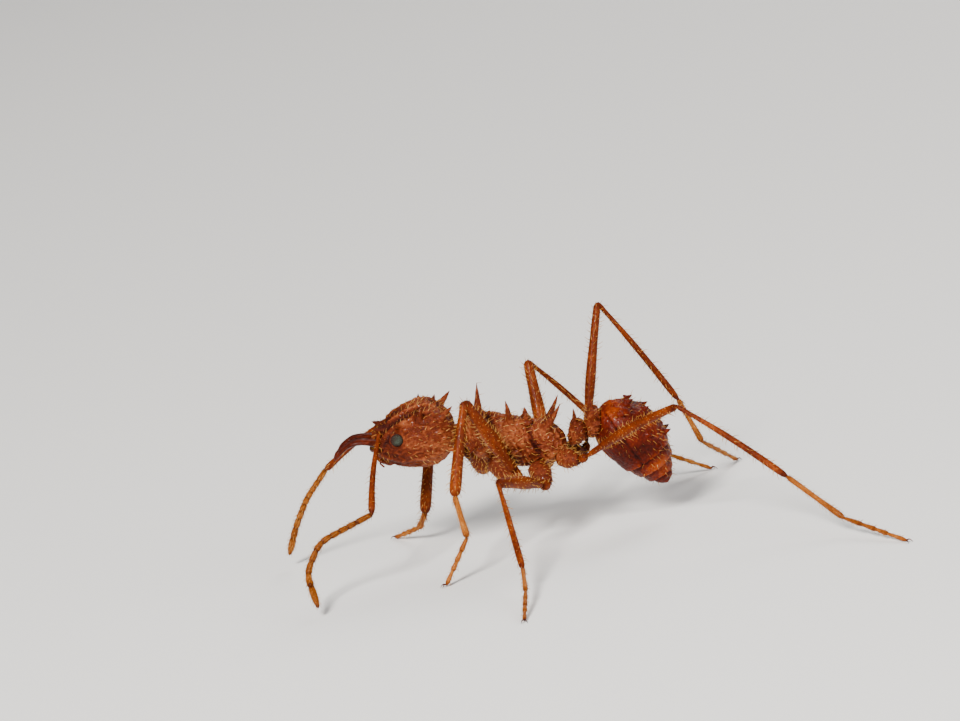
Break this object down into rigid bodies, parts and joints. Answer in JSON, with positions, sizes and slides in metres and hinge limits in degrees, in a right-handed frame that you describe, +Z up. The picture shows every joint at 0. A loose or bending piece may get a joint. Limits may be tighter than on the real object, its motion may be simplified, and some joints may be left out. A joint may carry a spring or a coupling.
{
  "type": "leafcutter ant",
  "caption": "Still life-size model of a spiny leafcutter ant worker in mid stride, jaws parted, feelers reaching down, a hind leg stretched far back.",
  "frame": {"origin": "on the floor, under the middle of the box round the whole ant", "axes": "+Z up; the ant walks towards -X, with its left side towards -Y"},
  "size_m": [0.0162, 0.0126, 0.006],
  "materials": {
    "head_shell": "matt, finely granular rust-red shell",
    "eye_glaze": "glossy dark facets",
    "mandible_horn": "satin dark red horn",
    "scape_shell": "satin orange-brown shell",
    "funiculus_shell": "satin amber shell with fine down",
    "trunk_shell": "matt, finely granular rust-red shell",
    "waist_shell": "matt, finely granular rust-red shell",
    "gaster_shell": "satin orange-red shell with bumps",
    "coxa_shell": "satin dark red shell",
    "femur_shell": "satin orange-brown shell",
    "tibia_shell": "satin orange-brown shell",
    "tarsus_shell": "satin amber shell with fine down"
  },
  "bodies": {
    "root": {"eye_left": "eye_glaze", "eye_right": "eye_glaze", "front_left_basitarsus": "tarsus_shell", "front_left_coxa": "coxa_shell", "front_left_femur": "femur_shell", "front_left_tarsus": "tarsus_shell", "front_left_tibia": "tibia_shell", "front_right_basitarsus": "tarsus_shell", "front_right_coxa": "coxa_shell", "front_right_femur": "femur_shell", "front_right_tarsus": "tarsus_shell", "front_right_tibia": "tibia_shell", "funiculus_left_1": "funiculus_shell", "funiculus_left_2": "funiculus_shell", "funiculus_left_3": "funiculus_shell", "funiculus_right_1": "funiculus_shell", "funiculus_right_2": "funiculus_shell", "funiculus_right_3": "funiculus_shell", "gaster": "gaster_shell", "gaster_tip": "gaster_shell", "head": "head_shell", "hind_left_basitarsus": "tarsus_shell", "hind_left_coxa": "coxa_shell", "hind_left_femur": "femur_shell", "hind_left_tarsus": "tarsus_shell", "hind_left_tibia": "tibia_shell", "hind_right_basitarsus": "tarsus_shell", "hind_right_coxa": "coxa_shell", "hind_right_femur": "femur_shell", "hind_right_tarsus": "tarsus_shell", "hind_right_tibia": "tibia_shell", "mandible_left": "mandible_horn", "mandible_right": "mandible_horn", "mesothorax": "trunk_shell", "middle_left_basitarsus": "tarsus_shell", "middle_left_coxa": "coxa_shell", "middle_left_femur": "femur_shell", "middle_left_tarsus": "tarsus_shell", "middle_left_tibia": "tibia_shell", "middle_right_basitarsus": "tarsus_shell", "middle_right_coxa": "coxa_shell", "middle_right_femur": "femur_shell", "middle_right_tarsus": "tarsus_shell", "middle_right_tibia": "tibia_shell", "petiole": "waist_shell", "postpetiole": "waist_shell", "pronotum": "trunk_shell", "propodeum": "trunk_shell", "scape_left": "scape_shell", "scape_right": "scape_shell"}
  },
  "joints": []
}
